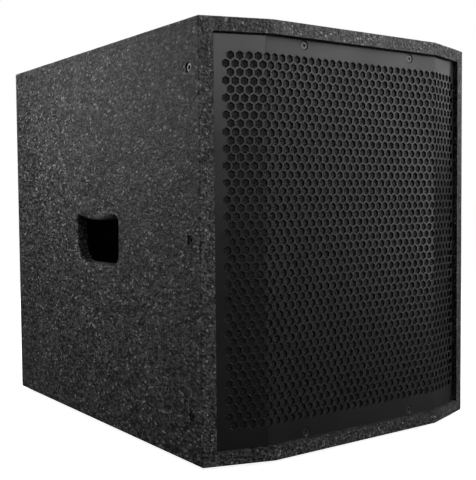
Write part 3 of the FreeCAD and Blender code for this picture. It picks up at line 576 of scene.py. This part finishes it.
def sheet_pattern(holes, screws, limits):
    """Points and edges of the unfolded sheet: its holes, its dimples, its outline and its bends."""
    low, high, end = limits
    hexagon = HOLE_WIDTH / 2 / math.cos(math.radians(30))
    loops = [ring(centre, hexagon + CHAMFER, 6) for centre in holes]
    loops += [ring(centre, DIMPLE_RADIUS, 40) for centre in screws]
    points = []
    edges = []
    for loop in loops:
        first = len(points)
        points += loop
        edges += [(first + i, first + (i + 1) % len(loop)) for i in range(len(loop))]
    first = len(points)
    points += [Vector((-end, low.z)), Vector((end, low.z)), Vector((end, high.z)), Vector((-end, high.z))]
    edges += [(first + i, first + (i + 1) % 4) for i in range(4)]
    for start, length, pieces in bend_lines():
        for step in range(pieces + 1):
            for side in (-1, 1):
                along = side * (start + length * step / pieces)
                points += [Vector((along, low.z)), Vector((along, high.z))]
                edges.append((len(points) - 2, len(points) - 1))
    return points, edges


def perforated_grille():
    """Folded steel sheet with staggered hexagonal holes and four screw dimples."""
    low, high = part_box("grille")
    end = sum(run for run, turn in SHEET_RUNS)
    holes = hole_centres((low.z + high.z) / 2)
    screws = [(x, z) for x in SCREW_X for z in (low.z + SCREW_INSET, high.z - SCREW_INSET)]
    points, edges = sheet_pattern(holes, screws, (low, high, end))
    flat, _, triangles, _, _, _ = delaunay_2d_cdt(points, edges, [], 0, TOUCH / 10)
    tree = kdtree.KDTree(len(holes) + len(screws))
    for index, centre in enumerate(holes + screws):
        tree.insert((*centre, 0), index)
    tree.balance()

    def solid(face):
        """Whether a triangle is sheet, not hole."""
        middle = (flat[face[0]] + flat[face[1]] + flat[face[2]]) / 3
        centre, index, distance = tree.find((middle.x, middle.y, 0))
        if index >= len(holes):
            return distance > DIMPLE_RADIUS - 0.1 * MM
        away = Vector((middle.x, middle.y, 0)) - centre
        reach = max(abs(away.x), abs(away.x / 2 + away.y * math.sqrt(0.75)),
                    abs(away.x / 2 - away.y * math.sqrt(0.75)))
        return reach > HOLE_WIDTH / 2 + CHAMFER * math.sqrt(0.75) - TOUCH

    kept = [face for face in triangles if solid(face)]
    points, faces = thickened(flat, kept, tree, len(holes), (low, high, end))
    made = make_object("perforated_grille", points, faces)
    clad(made, "grille_paint")
    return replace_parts(made, "grille")


def bend_lines():
    """Start, length and number of pieces of each bend, along half of the sheet."""
    starts = [sum(run for run, turn in SHEET_RUNS[:i]) for i in range(len(SHEET_RUNS))]
    return [(starts[1], SHEET_RUNS[1][0], 3), (starts[3], SHEET_RUNS[3][0], 6)]


def thickened(flat, kept, tree, hole_count, limits):
    """Points and faces of the flat pattern, folded, with its thickness, chamfers and dimples."""
    low, high, end = limits
    plain = [(0.0, 0.0), (-CHAMFER, CHAMFER), (-CHAMFER, SHEET - CHAMFER), (0.0, SHEET)]
    dimple = [(0.0, 0.0), (-0.15 * MM, 0.1 * MM), (-0.4 * MM, 0.35 * MM), (-3.1 * MM, 3.0 * MM),
              (-3.4 * MM, 3.3 * MM), (-3.4 * MM, 4.6 * MM), (-0.5 * MM, 1.8 * MM), (0.0, SHEET)]

    def layers(point):
        """The points through the sheet's thickness at one corner of the pattern."""
        edge = min(end - abs(point.x), point.y - low.z, high.z - point.y)
        if edge < TOUCH:
            inset = [(CHAMFER, 0.0), (0.0, CHAMFER), (0.0, SHEET - CHAMFER), (CHAMFER, SHEET)]
            return [sheet_place(
                max(-end + trim, min(end - trim, point.x)),
                max(low.z + trim, min(high.z - trim, point.y)), depth) for trim, depth in inset]
        centre, index, distance = tree.find((point.x, point.y, 0))
        away = (Vector((point.x, point.y, 0)) - centre) / distance
        steps = plain if index < hole_count else dimple
        return [sheet_place(
            point.x + away.x * change, point.y + away.y * change, depth) for change, depth in steps]

    points = []
    through = []
    for point in flat:
        placed = layers(point)
        through.append(list(range(len(points), len(points) + len(placed))))
        points += placed
    faces = []
    for face in kept:
        faces.append([through[i][0] for i in face])
        faces.append([through[i][-1] for i in reversed(face)])
    sides = [side for face in kept for side in zip(face, face[1:] + face[:1])]
    known = set(sides)
    for a, b in sides:
        if (b, a) not in known:
            for step in range(len(through[a]) - 1):
                faces.append([through[b][step], through[a][step], through[a][step + 1], through[b][step + 1]])
    return points, faces


def lift_foam():
    """Foam sheet behind the holes, with a rough open-cell face and soft edges."""
    low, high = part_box("grille_foam")
    half = FOLD_X + (high.x - FOLD_X) / math.cos(FOLD_ANGLE) - FOAM_GAP
    columns = round(2 * half / FOAM_STEP)
    rows = round((high.z - low.z) / FOAM_STEP)
    front_depth = low.y - GRILLE_FRONT
    points = []
    for layer in (0, 1):
        for row in range(rows + 1):
            for column in range(columns + 1):
                u = column / columns * 2 - 1
                v = row / rows * 2 - 1
                edge = min(1.0, min(1 - abs(u), 1 - abs(v)) * FOAM_EDGE_STEEPNESS)
                z = (low.z + high.z) / 2 + v * (high.z - low.z) / 2
                rough = FOAM_ROUGHNESS * wobble((u, v, layer), 0.02, 3.0)
                sink = (1 - edge) * FOAM_EDGE_SINK + FOAM_FACE_SINK + rough
                depth = FOAM_THICKNESS - sink if layer else sink
                points.append(sheet_place(u * half, z, front_depth + depth))
    made = make_object("open_cell_foam", points, slab_faces(columns, rows), smooth=True)
    clad(made, "acoustic_foam")
    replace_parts(made, "grille_foam")
    return made


# Wadding

def padded_sheet(name, node, thin_axis, wall, seed):
    """Wadding panel: a crowned closed form, pulled in where it is stapled, flat against its wall.

    wall is 1 for a wall on the axis's high side, -1 for one on its low side.
    """
    low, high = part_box(node)
    size = high - low
    across = [axis for axis in range(3) if axis != thin_axis]
    columns, rows = [max(10, round(size[axis] / WADDING_STEP)) for axis in across]
    start = high[thin_axis] if wall > 0 else low[thin_axis]
    points = []
    for layer in (0, 1):
        for row in range(rows + 1):
            for column in range(columns + 1):
                u = column / columns
                v = row / rows
                near = min(u, 1 - u) * size[across[0]]
                near = min(near, min(v, 1 - v) * size[across[1]])
                crown = math.sqrt(min(1.0, near / WADDING_CROWN))
                place = [0.0, 0.0, 0.0]
                place[across[0]] = low[across[0]] + u * size[across[0]]
                place[across[1]] = low[across[1]] + v * size[across[1]]
                tuck = staple_tuck(place[across[0]], place[across[1]], low, size, across)
                ripple = 0.5 + 0.5 * wobble(place, WADDING_RIPPLE, seed)
                swell = crown * (0.62 + 0.34 * ripple) * tuck
                thick = size[thin_axis] * (swell if layer else 0.02 * crown)
                place[thin_axis] = start - wall * thick
                points.append(place)
    made = make_object(name, points, slab_faces(columns, rows), smooth=True)
    cleaned(made)
    clad(made, "wadding")
    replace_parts(made, node)
    return made


def staple_tuck(u, v, low, size, across):
    """How far the wadding is pulled down near the staples, from 0.25 at a staple to 1 away from it."""
    pull = 1.0
    for i in range(2):
        for j in range(3):
            du = u - (low[across[0]] + size[across[0]] * (i + 0.5) / 2)
            dv = v - (low[across[1]] + size[across[1]] * (j + 0.5) / 3)
            pull = min(pull, 0.25 + 0.75 * min(1.0, math.hypot(du, dv) / STAPLE_REACH))
    return pull


def cleaned(made):
    """Merge doubled points and make the faces look outwards."""
    work = bmesh.new()
    work.from_mesh(made.data)
    bmesh.ops.remove_doubles(work, verts=work.verts, dist=TOUCH)
    bmesh.ops.recalc_face_normals(work, faces=work.faces)
    work.to_mesh(made.data)
    work.free()


# Driver's moving cloth

def turned_cloth(name, profile, slot, node):
    """Cloth ring turned about the driver's axis. The profile lists (radius, depth) in millimetres.
    """
    points = []
    for step in range(TURN_STEPS):
        angle = 2 * math.pi * step / TURN_STEPS
        for radius, depth in profile:
            points.append((
                DRIVER_AXIS.x + radius * MM * math.cos(angle),
                BAFFLE_FRONT + depth * MM,
                DRIVER_AXIS.z + radius * MM * math.sin(angle),
            ))
    size = len(profile)
    faces = []
    for step in range(TURN_STEPS):
        here = step * size
        there = (step + 1) % TURN_STEPS * size
        for i in range(size):
            j = (i + 1) % size
            faces.append([here + i, here + j, there + j, there + i])
    made = make_object(name, points, faces, smooth=True)
    cleaned(made)
    clad(made, slot, body=None)
    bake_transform(made)
    for vertex in made.data.vertices:
        radius = math.hypot(vertex.co.x - DRIVER_AXIS.x, vertex.co.z - DRIVER_AXIS.z) / MM
    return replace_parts(made, node)


def roll_surround():
    """Half-roll cloth edge with a flat lip on the frame and another on the cone."""
    def roll(radius, steps=20):
        """Half circle from the cone's side to the frame's side, as (radius, depth)."""
        angles = [math.pi * step / steps for step in range(1, steps)]
        return [(166 - radius * math.cos(angle), -5 - radius * math.sin(angle)) for angle in angles]

    front = [(154, -6), (156, -6.05), (159.2, -6.0)]
    front += roll(6.5)
    front += [(172.7, -7.2), (176, -7.2), (179.6, -7.2)]
    back = [(179.6, -6.1), (176, -6.1), (171.7, -6.1)]
    back += roll(5.5)[::-1]
    back += [(160.5, -4.9), (156, -4.9), (154, -4.85)]
    return turned_cloth("cloth_surround", front + back, "surround_cloth", "surround")


def corrugated_spider():
    """Corrugated suspension disc between the coil former and the frame's shelf."""
    low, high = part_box("spider")
    middle = ((low.y + high.y) / 2 - BAFFLE_FRONT) / MM
    start = 38.1
    end = (high.x - low.x) / 2 / MM
    steps = 110
    front = []
    for step in range(steps + 1):
        share = step / steps
        fade = min(1.0, share * 14) * min(1.0, max(0.0, (0.9 - share) * 14))
        wave = 2.3 * fade * math.sin(math.pi * 10 * share)
        front.append((start + (end - start) * share, middle - 0.4 - wave))
    back = [(radius, depth + 0.8) for radius, depth in reversed(front)]
    return turned_cloth("corrugated_spider", front + back, "spider_cloth", "spider")


# Wiring

def wire_curve(name, route, radius):
    """Smooth round wire along the points of its route, which are in millimetres."""
    curve = bpy.data.curves.new(name, "CURVE")
    curve.dimensions = "3D"
    curve.resolution_u = 10
    curve.bevel_depth = radius * MM
    curve.bevel_resolution = 5
    curve.use_fill_caps = radius > 0
    spline = curve.splines.new("NURBS")
    spline.points.add(len(route) - 1)
    for point, place in zip(spline.points, route):
        point.co = (place[0] * MM, place[1] * MM, place[2] * MM, 1.0)
    spline.order_u = 3
    spline.use_endpoint_u = True
    made = bpy.data.objects.new(name, curve)
    bpy.context.scene.collection.objects.link(made)
    return made


def hanging_wire(name, node, slot, route, radius):
    """Wire that hangs between two terminals inside the cabinet."""
    made = clad(wire_curve(name, route, radius), slot)
    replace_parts(made, node)


def supply_wires():
    """The two leads from the input socket to the driver's terminals."""
    hanging_wire("positive_wire", "positive_lead", "red_cable", [
        (-19, 246, 162), (-19, 226, 162), (-41, 196, 168), (-49, 150, 183), (-45, 90, 193),
        (-31, 20, 197), (-15, -45, 200), (1, -95, 203), (9, -130, 205.4), (9, -165.1, 205.4),
    ], 1.9)
    hanging_wire("negative_wire", "negative_lead", "black_cable", [
        (-33, 246, 162), (-33, 226, 162), (-59, 196, 168), (-67, 150, 183), (-63, 90, 193),
        (-49, 20, 197), (-33, -45, 200), (-17, -95, 203), (-9, -130, 205.4), (-9, -165.1, 205.4),
    ], 1.9)


def link_wires():
    """The two jumpers between the input and link sockets."""
    hanging_wire("long_link_wire", "link_leads", "black_cable", [
        (-33, 251, 150.2), (-33, 230, 147.2), (-20, 224, 124.2), (6, 224, 124.2), (19, 230, 147.2),
        (19, 251, 150.2),
    ], 1.3)
    hanging_wire("short_link_wire", "link_leads", "black_cable", [
        (-19, 251, 150.2), (-19, 236, 147.2), (-6, 230, 130.2), (20, 230, 130.2), (33, 236, 147.2),
        (33, 251, 150.2),
    ], 1.3)


def tinsel_braid(name, side):
    """Flexible braid from a terminal to the cone."""
    route = [
        (side * 14.4, -214.1, 211), (side * 14.4, -224.1, 221), (side * 13.5, -221.1, 234),
        (side * 12.6, -222.1, 246), (side * 12.6, -227.4, 250),
    ]
    radius = 1.0
    line = wire_curve(name + "_line", route, 0)
    tube = wire_curve(name + "_tube", route, radius)
    bpy.context.view_layer.update()
    path = [tuple(vertex.co) for vertex in bpy.data.meshes.new_from_object(line).vertices]
    made = bpy.data.objects.new(name, bpy.data.meshes.new_from_object(tube))
    bpy.context.scene.collection.objects.link(made)
    bpy.data.objects.remove(line)
    bpy.data.objects.remove(tube)
    cleaned(made)
    made.data.materials.clear()
    clad(made, "copper", body=None)
    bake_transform(made)
    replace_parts(made, "tinsel_leads")


def build_pieces():
    """Every piece, the cords first."""
    clothe_frame()
    supply_wires()
    link_wires()
    tinsel_braid("left_tinsel_braid", -1)
    tinsel_braid("right_tinsel_braid", 1)
    perforated_grille()
    lift_foam()
    padded_sheet("top_wadding", "top_lining", 2, 1, 1.0)
    padded_sheet("rear_wadding", "rear_lining", 1, 1, 2.0)
    padded_sheet("left_wadding", "left_lining", 0, -1, 3.0)
    padded_sheet("right_wadding", "right_lining", 0, 1, 4.0)
    roll_surround()
    corrugated_spider()


# Camera, floor and lights

def make_camera():
    """Camera at the front left, a little above the middle of the cabinet's height."""
    data = bpy.data.cameras.new("camera")
    data.lens = 64.05
    data.sensor_width = 36.0
    camera = bpy.data.objects.new("camera", data)
    camera.location = (-0.8077, -1.1505, 0.3409)
    camera.rotation_euler = [math.radians(turn) for turn in (87.149, 0.504, -35.640)]
    bpy.context.scene.collection.objects.link(camera)
    bpy.context.scene.camera = camera


def make_floor():
    """Plain pale floor that looks lit from below and throws little light up at the cabinet."""
    s = Surface("studio_paper", specular=0.1)
    fibres = s.noise(4 * MM, 4.0)
    seen = s.node("LightPath").outputs["Is Camera Ray"]
    pale = s.colours(fibres, (0.86, 0.86, 0.86), (0.90, 0.90, 0.90))
    dim = s.colours(fibres, (0.12, 0.12, 0.12), (0.14, 0.14, 0.14))
    paper = s.finish(s.over(dim, pale, seen), s.between(fibres, 0.75, 0.9), [(fibres, 0.05 * MM)])
    s.shader.inputs["Emission Color"].default_value = (1.0, 1.0, 1.0, 1.0)
    s.link(s.between(seen, 0.0, 0.92, 0.0, 1.0), s.shader.inputs["Emission Strength"])
    points = [(x, y, 0.0) for y in (-40.0, 40.0) for x in (-40.0, 40.0)]
    floor = make_object("floor", points, [[0, 1, 3, 2]])
    floor.data.materials.append(paper)


def area_light(name, place, target, width, height, power, spread):
    """Soft box that looks at a target, with its grid's spread in degrees."""
    data = bpy.data.lights.new(name, "AREA")
    data.shape = "RECTANGLE"
    data.size = width
    data.size_y = height
    data.energy = power
    data.spread = math.radians(spread)
    light = bpy.data.objects.new(name, data)
    light.location = place
    light.rotation_euler = (Vector(target) - Vector(place)).to_track_quat("-Z", "Y").to_euler()
    bpy.context.scene.collection.objects.link(light)


# Name, place, target, width, height, power and spread of every soft box
SOFT_BOXES = [
    ("front_high_box", (-0.2, -2.2, 1.15), (-0.15, -0.3, 0.5), 0.8, 0.4, 1.5, 60),
    ("front_right_box", (1.6, -1.9, 1.0), (0.0, -0.3, 0.5), 0.8, 0.4, 0.6, 60),
    ("right_high_box", (2.3, -0.55, 0.8), (0.2, -0.3, 0.45), 0.5, 0.5, 0.25, 60),
    ("near_right_strip", (0.5, -0.75, 0.95), (0.15, -0.3, 0.3), 0.4, 0.25, 3.1, 180),
    ("right_low_box", (1.5, -1.3, 0.35), (0.15, -0.3, 0.25), 0.4, 0.7, 1.0, 90),
    ("left_near_box", (-0.82, 0.33, 0.70), (-0.24, 0.18, 0.42), 0.12, 0.12, 1.75, 120),
    ("left_box", (-1.8, -0.2, 0.6), (-0.24, 0.0, 0.3), 0.6, 0.9, 0.8, 90),
    ("top_box", (0.0, 0.3, 1.7), (0.0, 0.1, 0.5), 0.4, 0.6, 3.5, 150),
    ("rear_box", (0.5, 2.0, 1.1), (0.0, 0.31, 0.3), 0.9, 0.7, 7.0, 120),
    ("right_side_box", (2.0, 0.6, 1.0), (0.24, 0.0, 0.3), 0.6, 0.7, 5.0, 120),
]


def make_lights():
    """Soft boxes all round, a weak overhead scrim and a surround that is white only to the camera."""
    sun = bpy.data.objects.new("overhead_scrim", bpy.data.lights.new("overhead_scrim", "SUN"))
    sun.data.energy = 0.2
    sun.data.angle = math.radians(50)
    bpy.context.scene.collection.objects.link(sun)
    for box in SOFT_BOXES:
        area_light(*box)
    world = bpy.data.worlds.new("studio")
    world.use_nodes = True
    tree = world.node_tree
    seen = tree.nodes.new("ShaderNodeLightPath").outputs["Is Camera Ray"]
    strength = tree.nodes.new("ShaderNodeMapRange")
    strength.inputs["To Min"].default_value = 0.03
    strength.inputs["To Max"].default_value = 1.0
    tree.links.new(seen, strength.inputs["Value"])
    tree.links.new(strength.outputs["Result"], tree.nodes["Background"].inputs["Strength"])
    tree.nodes["Background"].inputs["Color"].default_value = (1.0, 1.0, 1.0, 1.0)
    bpy.context.scene.world = world
    bpy.context.scene.view_settings.view_transform = "Standard"


make_camera()
build_pieces()
make_floor()
make_lights()
